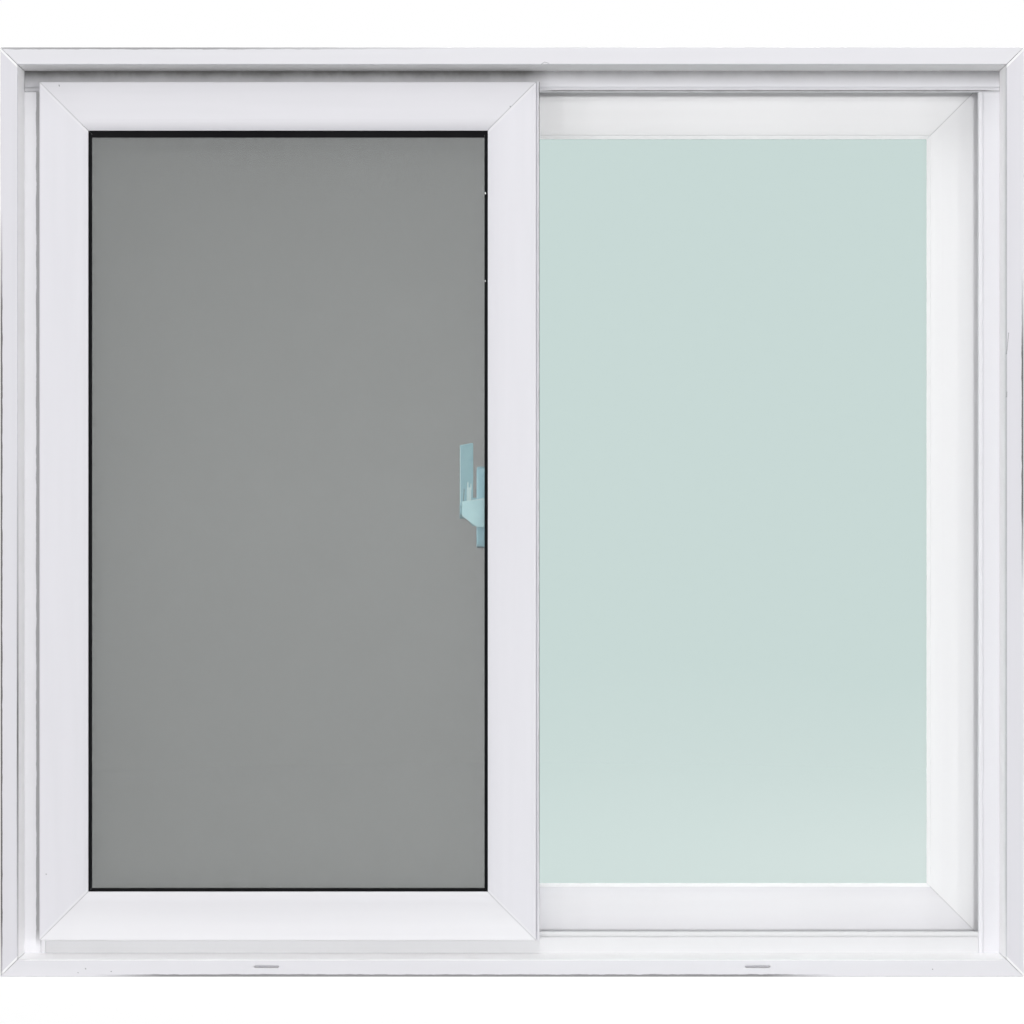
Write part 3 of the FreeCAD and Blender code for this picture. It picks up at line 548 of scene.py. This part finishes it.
def white_upvc(
    name, along, tones, inside=None, seams=None, lines=(), highlight_lines=(), pane=None, painted_shade=None, marks=(),
):
    """Satin white uPVC with the streaks of its drawing, a little dust, seams, marks, dark lines and painted
    shade and light.
    """
    material, tree, shader, _ = new_material(name)
    colour = drawn_colour(tree, tones, along, streaks=0.5, patches=0.7)
    # Painted light on the frame's inner sides.
    if inside:
        colour = place_group(tree, painted_inside_light, {"Color": colour, "Inside": (*inside, 1.0)})["Color"]
    if pane:
        colour = add_pane_shade(tree, colour, pane)
    # Painted shade, on a bar that has it.
    if painted_shade:
        colour = painted_shade(tree, colour)
    colour = add_dust(tree, colour, 0.03)
    height = grain_height(tree, scale=700.0, waves=0.8)
    if seams:
        colour, height = add_seams(tree, colour, height, seams)
    # Dark lines along edges: painted shade and painted shadow, and plain dark lines.
    colour = add_edge_lines(tree, colour, lines, SHADE_AND_LINE_DARK)
    # Painted highlights along edges.
    colour = add_edge_lines(tree, colour, highlight_lines, PAINTED_HIGHLIGHT)
    colour = add_marks(tree, colour, marks, SCRATCH)
    join_colour_and_gloss(tree, shader, colour, roughness=0.38, change=0.2)
    raise_grain(tree, shader, height, strength=0.12, distance=0.2 * MM)
    shader.inputs["IOR"].default_value = 1.48
    return material


def paler_low_tint(tree, tint, pale_tint, top):
    """The colour of glass that turns paler towards the bottom, fading upward and to the left."""
    place = object_place(tree)
    across = parts(tree, place)["X"]
    drift = calculate(tree, "MULTIPLY", noise(tree, place, scale=3.0, detail=2.0), PALE_DRIFT)
    height = calculate(tree, "SUBTRACT", parts(tree, place)["Z"], drift)
    share = spread(tree, across, low=0.0, high=PALE_RIGHT, to_low=PALE_MIDDLE_SHARE)
    share = calculate(tree, "MULTIPLY", spread(tree, height, low=top, high=PALE_FULL), share)
    return blend_colours(tree, share, (*tint, 1.0), (*pale_tint, 1.0))


def tinted_glass(name, tint, pale_tint=None, pale_top=None):
    """Clear tinted float glass, which may turn paler towards the bottom. A lamp's light crosses both faces of
    the pane, so each face takes the root of the tint."""
    material, tree, shader, output = new_material(name)
    if pale_tint:
        tree.links.new(paler_low_tint(tree, tint, pale_tint, pale_top), shader.inputs["Base Color"])
    else:
        shader.inputs["Base Color"].default_value = (*tint, 1.0)
    shader.inputs["Roughness"].default_value = 0.0
    shader.inputs["IOR"].default_value = 1.5
    shader.inputs["Transmission Weight"].default_value = 1.0
    through = node(tree, "BsdfTransparent", {"Color": (*(math.sqrt(c) for c in tint), 1.0)})
    lamp_ray = node(tree, "LightPath").outputs["Is Shadow Ray"]
    mix = node(tree, "MixShader", {0: lamp_ray, 1: shader.outputs[0], 2: through.outputs[0]})
    tree.links.new(mix.outputs[0], output.inputs["Surface"])
    return material


def soft_rubber(name, tones, roughness, gloss_level, specks=()):
    """Extruded rubber: matt, with a faint bloom and fine grain."""
    material, tree, shader, _ = new_material(name)
    colour = drawn_colour(tree, tones, ALONG_BOTH, streaks=0.5, patches=1.4)
    colour = add_dust(tree, colour, 0.12)
    colour = add_marks(tree, colour, specks, WHITE)
    join_colour_and_gloss(tree, shader, colour, roughness, change=0.2)
    raise_grain(tree, shader, grain_height(tree, scale=1500.0, waves=0.3), strength=0.25, distance=0.1 * MM)
    shader.inputs["Specular IOR Level"].default_value = gloss_level
    return material


def moulded_nylon(name, tones):
    """Moulded nylon of the wheels, housings and glides."""
    material, tree, shader, _ = new_material(name)
    colour = drawn_colour(tree, tones, EVEN, streaks=0.8, patches=1.0)
    colour = add_dust(tree, colour, 0.3)
    join_colour_and_gloss(tree, shader, colour, roughness=0.45, change=0.25)
    raise_grain(tree, shader, grain_height(tree, scale=1100.0, waves=0.4), strength=0.2, distance=0.15 * MM)
    return material


def lock_enamel(name, tones, painted_glints=(), edge_shade=()):
    """Smooth stove enamel on a casting: faint orange peel, a clear coat, painted highlights and painted shade
    on its edges.
    """
    material, tree, shader, _ = new_material(name)
    colour = drawn_colour(tree, tones, ALONG_LEVER, streaks=0.9, patches=1.2)
    colour = add_dust(tree, colour, 0.2)
    # Painted highlights, then painted shade on edges and roundings.
    colour = add_marks(tree, colour, painted_glints, PAINTED_GLINT, ENAMEL_MARK_SHARE)
    colour = add_marks(tree, colour, edge_shade, PAINTED_EDGE_SHADE, ENAMEL_MARK_SHARE)
    join_colour_and_gloss(tree, shader, colour, roughness=0.28, change=0.2)
    raise_grain(tree, shader, grain_height(tree, scale=420.0, waves=0.3), strength=0.2, distance=0.15 * MM)
    shader.inputs["Coat Weight"].default_value = 0.4
    shader.inputs["Coat Roughness"].default_value = 0.12
    return material


def coated_yarn(name, tones):
    """Glass yarn in a dark grey coat."""
    material, tree, shader, _ = new_material(name)
    colour = drawn_colour(tree, tones, EVEN, streaks=1.0, patches=1.0)
    colour = add_dust(tree, colour, 0.1)
    join_colour_and_gloss(tree, shader, colour, roughness=0.7, change=0.1)
    return material


def mark(start, end, width):
    """A short mark as seen from outside, from places across and up and a width in millimetres."""
    return (start[0] * MM, 0.0, start[1] * MM), (end[0] * MM, 0.0, end[1] * MM), width * MM


# The light and the dark tone of each bar's white. The bars are all one white: the jambs, the sill rails and
# the top rail of the outer sash take darker copies of it as painted shade, and the jamb rails, the bottom
# rail of the outer sash and the inner sash's bars take lighter copies as painted light.
JAMB_SHADED_WHITE = ((0.77, 0.76, 0.805), (0.70, 0.695, 0.735))
JAMB_RAIL_LIT_WHITE = ((0.86, 0.855, 0.89), (0.80, 0.795, 0.83))
HEAD_WHITE = ((0.81, 0.805, 0.84), (0.74, 0.735, 0.77))
SILL_WHITE = ((0.82, 0.815, 0.85), (0.75, 0.745, 0.78))
SILL_RAIL_SHADED_WHITE = ((0.79, 0.79, 0.805), (0.73, 0.73, 0.745))
FRONT_WHITE = ((0.81, 0.80, 0.845), (0.74, 0.735, 0.775))
FRONT_TOP_SHADED_WHITE = ((0.79, 0.78, 0.82), (0.72, 0.715, 0.75))
FRONT_BOTTOM_LIT_WHITE = ((0.89, 0.885, 0.91), (0.83, 0.825, 0.855))
REAR_LIT_WHITE = ((0.92, 0.92, 0.93), (0.87, 0.87, 0.885))
REAR_TOP_LIT_WHITE = ((0.955, 0.955, 0.965), (0.92, 0.92, 0.93))
REAR_BOTTOM_LIT_WHITE = ((0.87, 0.865, 0.89), (0.81, 0.805, 0.83))
# The lighter white of the painted light on the frame's inner sides.
INSIDE_PAINTED_LIGHT = (0.98, 0.975, 0.985)

# The light and the dark tone of the other finishes, and the tints of the glass.
BLACK_RUBBER = ((0.012, 0.012, 0.013), (0.004, 0.004, 0.005))
PALE_RUBBER = ((0.93, 0.935, 0.94), (0.87, 0.875, 0.88))
GREY_RUBBER = ((0.16, 0.16, 0.16), (0.09, 0.09, 0.09))
GREY_NYLON = ((0.30, 0.30, 0.31), (0.20, 0.20, 0.21))
# The lock is one enamel: the lever and the base take darker copies of the keeper's blue as painted shade.
LEVER_SHADED_BLUE = ((0.452, 0.70, 0.757), (0.367, 0.578, 0.641))
BASE_SHADED_BLUE = ((0.53, 0.82, 0.92), (0.45, 0.73, 0.84))
KEEPER_BLUE = ((0.71, 0.98, 1.0), (0.625, 0.89, 0.97))
YARN_GREY = ((0.170, 0.163, 0.160), (0.152, 0.145, 0.142))
FRONT_TINT = (0.63, 0.655, 0.65)
REAR_TINT = (0.56, 0.68, 0.657)
REAR_PALE_TINT = (0.64, 0.735, 0.715)
REAR_PALE_TOP = 0.3

# A painted contact shadow along the bottom edge of the sill.
sill_shadow_lines = [EdgeLine("Z", FRAME_BOTTOM, 3.0 * MM, -0.49, 0.38, 0.08, 5 * MM, 0.72)]
# A painted highlight along the top edge of the sill's lip.
sill_highlight_lines = [
    EdgeLine("Z", FRAME_BOTTOM + FRAME_LIP + 0.2 * MM, 1.1 * MM, -0.585, 0.585, 0.02, 8 * MM, 0.95),
]
head_lines = [EdgeLine("Z", FRAME_TOP, 2.6 * MM, -0.85, -0.05, 0.5, 5 * MM, 0.95)]
head_rail_lines = [EdgeLine("Z", HEAD_RAIL_TIP + 1.5 * MM, 0.9 * MM, 0.03, 0.58, 0.02, 40 * MM, 0.75)]
left_lines = [
    EdgeLine("X", FRAME_LEFT, 2.6 * MM, -0.05, 0.90, 0.12, 5 * MM, 0.92),
    EdgeLine("X", FRAME_LEFT + FRAME_LIP, 0.8 * MM, -0.05, 0.62, 0.35, 5 * MM, 0.95),
]
# A painted shadow of the outer sash's edge on the left jamb rail.
left_rail_shadow_lines = [EdgeLine("X", LEFT_RAIL_TIP - 8 * MM, 3.4 * MM, 0.03, 1.06, 0.02, 40 * MM, 0.6)]
right_lines = [
    EdgeLine("X", FRAME_RIGHT, 2.6 * MM, 0.45, 0.83, 0.1, 5 * MM, 0.92),
    EdgeLine("X", FRAME_RIGHT - FRAME_LIP, 0.6 * MM, 0.0, 1.09, 0.1, 10 * MM, 0.25),
]
# Painted shade along the outer edge of the interlock strip.
strip_shade_lines = [EdgeLine("X", STRIP_EDGE, 1.1 * MM, 0.03, 1.25, 0.15, 60 * MM, 0.85)]

jamb_marks = [mark((582.4, 755.2), (580.1, 730.5), 0.5), mark((580.4, 686.0), (580.2, 680.0), 0.5)]
head_marks = [mark((34.5, 1070.2), (38.0, 1072.6), 0.4), mark((38.0, 1072.6), (43.5, 1071.0), 0.4)]
sill_marks = [
    mark((493.2, 8.8), (493.3, 8.7), 0.8),
    mark((298.2, 2.6), (299.0, 2.5), 0.7),
    mark((-500.2, 9.5), (-499.8, 9.3), 0.8),
    mark((-509.0, 4.9), (-508.7, 4.8), 0.6),
    mark((-470.3, 6.3), (-469.8, 6.2), 0.7),
]
top_marks = [mark((-534.2, 1048.6), (-533.8, 1047.4), 0.8), mark((-2.2, 1023.4), (-0.6, 1021.8), 0.7)]
stile_marks = [mark((-549.6, 118.1), (-549.2, 117.6), 0.7)]
gasket_specks = [mark((-31.5, 922.5), (-31.5, 921.0), 0.7), mark((-31.5, 818.5), (-31.6, 817.6), 0.6)]
# Painted highlights on the lever's rib and left edge.
lever_painted_glints = [
    mark((-51.5, 556.0), (-51.5, 572.0), 3.2),
    mark((-53.0, 572.0), (-52.6, 580.0), 1.0),
    mark((-49.2, 572.0), (-49.0, 578.0), 1.0),
    mark((-61.8, 556.0), (-61.8, 622.0), 0.5),
]
# Painted shade along the lever's left side and at its foot.
lever_edge_shade = [mark((-59.0, 546.0), (-57.2, 572.0), 0.6), mark((-61.5, 541.5), (-58.5, 541.5), 1.0)]
# Painted highlights along the keeper's top and lower rims.
keeper_painted_glints = [mark((-59.4, 558.2), (-32.9, 560.6), 0.7), mark((-59.4, 540.8), (-42.6, 527.3), 0.7)]
# Painted shade on the rounded lower end of the base.
base_edge_shade = [mark((-41.5, 502.5), (-32.0, 502.5), 1.6)]

# The last value is how strong the painted highlight beside each seam is.
FRAME_SEAMS = Seams(FRAME_MIDDLE, FRAME_HALF_WIDTH - FRAME_HALF_HEIGHT, 0.9)
FRONT_SEAMS = Seams(FRONT_MIDDLE, SASH_HALF_WIDTH - SASH_HALF_HEIGHT, 0.25)
REAR_SEAMS = Seams(REAR_MIDDLE, SASH_HALF_WIDTH - SASH_HALF_HEIGHT, 0.15)

head_upvc = white_upvc(
    "head_upvc", ALONG_X, HEAD_WHITE, INSIDE_PAINTED_LIGHT, FRAME_SEAMS, head_lines, marks=head_marks,
)
# The first head rail carries painted shade under the head's lip.
head_rail_upvc = white_upvc(
    "head_rail_upvc", ALONG_X, HEAD_WHITE, lines=head_rail_lines, painted_shade=head_painted_shade,
)
sill_upvc = white_upvc(
    "sill_upvc", ALONG_X, SILL_WHITE, INSIDE_PAINTED_LIGHT, FRAME_SEAMS, sill_shadow_lines, sill_highlight_lines, marks=sill_marks,
)
left_jamb_upvc = white_upvc(
    "left_jamb_upvc", ALONG_Z, JAMB_SHADED_WHITE, INSIDE_PAINTED_LIGHT, FRAME_SEAMS, left_lines,
)
right_jamb_upvc = white_upvc(
    "right_jamb_upvc", ALONG_Z, JAMB_SHADED_WHITE, INSIDE_PAINTED_LIGHT, FRAME_SEAMS, right_lines, marks=jamb_marks,
)
sill_rail_upvc = white_upvc("sill_rail_upvc", ALONG_X, SILL_RAIL_SHADED_WHITE)
left_rail_upvc = white_upvc("left_rail_upvc", ALONG_Z, FRONT_BOTTOM_LIT_WHITE, lines=left_rail_shadow_lines)
right_rail_upvc = white_upvc("right_rail_upvc", ALONG_Z, JAMB_RAIL_LIT_WHITE)
strip_upvc = white_upvc("strip_upvc", ALONG_Z, FRONT_WHITE, lines=strip_shade_lines)
front_top_upvc = white_upvc(
    "front_top_upvc", ALONG_X, FRONT_TOP_SHADED_WHITE, seams=FRONT_SEAMS,
    pane=PaneShade(FRONT_MIDDLE, 8 * MM, 0.25), marks=top_marks,
)
front_bottom_upvc = white_upvc(
    "front_bottom_upvc", ALONG_X, FRONT_BOTTOM_LIT_WHITE, seams=FRONT_SEAMS,
    pane=PaneShade(FRONT_MIDDLE, 40 * MM, 0.4),
)
front_stile_upvc = white_upvc(
    "front_stile_upvc", ALONG_Z, FRONT_WHITE, seams=FRONT_SEAMS,
    pane=PaneShade(FRONT_MIDDLE, 20 * MM, 0.15), marks=stile_marks,
)
rear_top_upvc = white_upvc("rear_top_upvc", ALONG_X, REAR_TOP_LIT_WHITE, seams=REAR_SEAMS)
rear_bottom_upvc = white_upvc(
    "rear_bottom_upvc", ALONG_X, REAR_BOTTOM_LIT_WHITE, seams=REAR_SEAMS,
    pane=PaneShade(REAR_MIDDLE, 14 * MM, 0.45),
)
rear_stile_upvc = white_upvc("rear_stile_upvc", ALONG_Z, REAR_LIT_WHITE, seams=REAR_SEAMS)
bead_upvc = white_upvc("bead_upvc", ALONG_BOTH, REAR_LIT_WHITE)
front_glass = tinted_glass("front_glass_tint", FRONT_TINT)
rear_glass = tinted_glass("rear_glass_tint", REAR_TINT, REAR_PALE_TINT, REAR_PALE_TOP)
black_gasket = soft_rubber(
    "black_gasket", BLACK_RUBBER, roughness=0.8, gloss_level=0.08, specks=gasket_specks,
)
pale_gasket = soft_rubber("pale_gasket", PALE_RUBBER, roughness=0.55, gloss_level=0.4)
grey_spline = soft_rubber("grey_spline", GREY_RUBBER, roughness=0.65, gloss_level=0.4)
grey_nylon = moulded_nylon("grey_nylon", GREY_NYLON)
lever_enamel = lock_enamel("lever_enamel", LEVER_SHADED_BLUE, lever_painted_glints, lever_edge_shade)
base_enamel = lock_enamel("base_enamel", BASE_SHADED_BLUE, edge_shade=base_edge_shade)
keeper_enamel = lock_enamel("keeper_enamel", KEEPER_BLUE, keeper_painted_glints)
dark_yarn = coated_yarn("dark_yarn", YARN_GREY)

FINISHES = {
    head_upvc: ["frame_head"],
    head_rail_upvc: ["head_rails"],
    sill_upvc: ["frame_sill"],
    sill_rail_upvc: ["sill_rails", "screen_bottom_rail", "screen_top_rail"],
    left_jamb_upvc: ["frame_left_jamb"],
    left_rail_upvc: ["left_jamb_rails"],
    right_jamb_upvc: ["frame_right_jamb"],
    right_rail_upvc: ["right_jamb_rails", "screen_left_stile", "screen_right_stile"],
    front_top_upvc: ["front_top_rail"],
    front_bottom_upvc: ["front_bottom_rail"],
    front_stile_upvc: ["front_left_stile", "front_meeting_stile"],
    strip_upvc: ["front_interlock_strip"],
    rear_top_upvc: ["rear_top_rail"],
    rear_bottom_upvc: ["rear_bottom_rail"],
    rear_stile_upvc: ["rear_meeting_stile", "rear_right_stile", "rear_interlock_strip"],
    bead_upvc: ["front_glazing_beads", "rear_glazing_beads"],
    front_glass: ["front_glass"],
    rear_glass: ["rear_glass"],
    black_gasket: ["front_outer_gasket", "front_inner_gasket"],
    pale_gasket: ["rear_outer_gasket", "rear_inner_gasket"],
    grey_spline: ["screen_spline"],
    grey_nylon: [
        "front_roller_housings", "front_rollers", "rear_roller_housings", "rear_rollers", "screen_glides",
    ],
    lever_enamel: ["lock_lever"],
    base_enamel: ["lock_base"],
    keeper_enamel: ["lock_keeper"],
    dark_yarn: ["screen_mesh"],
}

for finish, names in FINISHES.items():
    for name in names:
        materials = nodes[name].data.materials
        materials.clear()
        materials.append(finish)


# The screen's yarn, which is too fine for the solids

# A box's faces by the numbers of its corners, counted up along Z first, then Y, then X.
BOX_FACES = ((0, 1, 3, 2), (4, 6, 7, 5), (0, 4, 5, 1), (2, 3, 7, 6), (0, 2, 6, 4), (1, 5, 7, 3))


def new_piece(name, mesh, body, finish):
    """Puts a mesh into the scene as a piece that rides on a body."""
    piece = bpy.data.objects.new(name, mesh)
    bpy.context.scene.collection.objects.link(piece)
    mesh.materials.append(finish)
    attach(piece, body)
    return piece


def add_box(mesh, low, high):
    """Adds a closed box between two corners."""
    corners = [mesh.verts.new(corner) for corner in product(*zip(low, high))]
    for face in BOX_FACES:
        mesh.faces.new([corners[i] for i in face])


def woven_screen():
    """The screen's yarn: upright strands on the outside, level ones behind them, bonded where they cross."""
    low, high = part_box("screen_mesh")
    middle = (low.y + high.y) / 2
    mesh = bmesh.new()
    upright = int((high.x - low.x) / YARN_PITCH)
    level = int((high.z - low.z) / YARN_PITCH)
    half = YARN_WIDTH / 2
    for i in range(upright):
        x = low.x + (i + 0.5) * (high.x - low.x) / upright
        add_box(mesh, (x - half, middle - YARN_WIDTH, low.z), (x + half, middle, high.z))
    for i in range(level):
        z = low.z + (i + 0.5) * (high.z - low.z) / level
        add_box(mesh, (low.x, middle, z - half), (high.x, middle + YARN_WIDTH, z + half))
    data = bpy.data.meshes.new("woven_screen")
    mesh.to_mesh(data)
    mesh.free()
    screen = new_piece("woven_screen", data, "screen", dark_yarn)
    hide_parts("screen_mesh")


woven_screen()


# Stage, light and camera

def seen_directly(tree):
    """1 for rays from the camera and for those that come by way of gloss or glass, 0 for soft light."""
    path = node(tree, "LightPath").outputs
    seen = calculate(tree, "MAXIMUM", path["Is Camera Ray"], path["Is Glossy Ray"])
    return calculate(tree, "MAXIMUM", seen, path["Is Transmission Ray"])


def white_floor():
    """A white floor that keeps the window's shadow."""
    mesh = bmesh.new()
    bmesh.ops.create_grid(mesh, x_segments=1, y_segments=1, size=FLOOR_SIDE / 2)
    data = bpy.data.meshes.new("floor")
    mesh.to_mesh(data)
    mesh.free()
    floor = bpy.data.objects.new("floor", data)
    floor.location.z = -FLOOR_DROP
    bpy.context.scene.collection.objects.link(floor)
    material = bpy.data.materials.new("floor_white")
    material.use_nodes = True
    tree = material.node_tree
    tree.nodes.clear()
    lit = node(tree, "BsdfDiffuse", {"Color": FLOOR_LIT})
    shaded = node(tree, "BsdfDiffuse", {"Color": FLOOR_SHADED})
    glow = node(tree, "Emission", {"Color": WHITE, "Strength": FLOOR_GLOW})
    near = node(tree, "AddShader", {0: shaded.outputs[0], 1: glow.outputs[0]})
    far = node(tree, "Emission", {"Color": WHITE, "Strength": 1.0})
    reach = vector_calculate(tree, "LENGTH", object_place(tree)).outputs["Value"]
    fade = spread(tree, reach, low=SHADOW_REACH / 2, high=SHADOW_REACH)
    shown = node(tree, "MixShader", {0: fade, 1: near.outputs[0], 2: far.outputs[0]})
    mix = node(tree, "MixShader", {0: seen_directly(tree), 1: lit.outputs[0], 2: shown.outputs[0]})
    node(tree, "OutputMaterial", {"Surface": mix.outputs[0]})
    data.materials.append(material)


def even_sky():
    """An even sky, seen as plain white."""
    world = bpy.data.worlds.new("even_sky")
    world.use_nodes = True
    tree = world.node_tree
    tree.nodes.clear()
    soft = node(tree, "Background", {"Color": WHITE, "Strength": SKY_STRENGTH})
    plain = node(tree, "Background", {"Color": WHITE, "Strength": 1.0})
    mix = node(tree, "MixShader", {0: seen_directly(tree), 1: soft.outputs[0], 2: plain.outputs[0]})
    node(tree, "OutputWorld", {"Surface": mix.outputs[0]})
    bpy.context.scene.world = world


def soft_lamp(name, azimuth, elevation, strength, width, in_gloss):
    """A far, even lamp from so many degrees round to the right of the camera and above the floor."""
    lamp = bpy.data.lights.new(name, "SUN")
    lamp.energy = strength
    lamp.angle = math.radians(width)
    made = bpy.data.objects.new(name, lamp)
    turn = Matrix.Rotation(math.radians(azimuth), 3, "Z") @ Matrix.Rotation(math.radians(-elevation), 3, "X")
    towards = turn @ Vector((0.0, 1.0, 0.0))
    made.rotation_euler = towards.to_track_quat("-Z", "Y").to_euler()
    made.visible_glossy = in_gloss
    made.visible_transmission = in_gloss
    bpy.context.scene.collection.objects.link(made)


def front_camera():
    """A camera straight in front of the window, at the height of its middle."""
    low, high = cad_box
    middle = (Vector(low) + Vector(high)) / 2
    data = bpy.data.cameras.new("front_camera")
    data.sensor_width = SENSOR
    data.lens = SENSOR * CAMERA_DISTANCE / PICTURE_WIDTH
    camera = bpy.data.objects.new("front_camera", data)
    camera.location = (middle.x, low[1] - CAMERA_DISTANCE, middle.z)
    camera.rotation_euler = (math.pi / 2, 0.0, 0.0)
    bpy.context.scene.collection.objects.link(camera)
    bpy.context.scene.camera = camera


front_camera()
white_floor()
even_sky()
for lamp_name, lamp_values in LAMPS.items():
    soft_lamp(lamp_name, *lamp_values)
bpy.context.scene.view_settings.view_transform = "Standard"
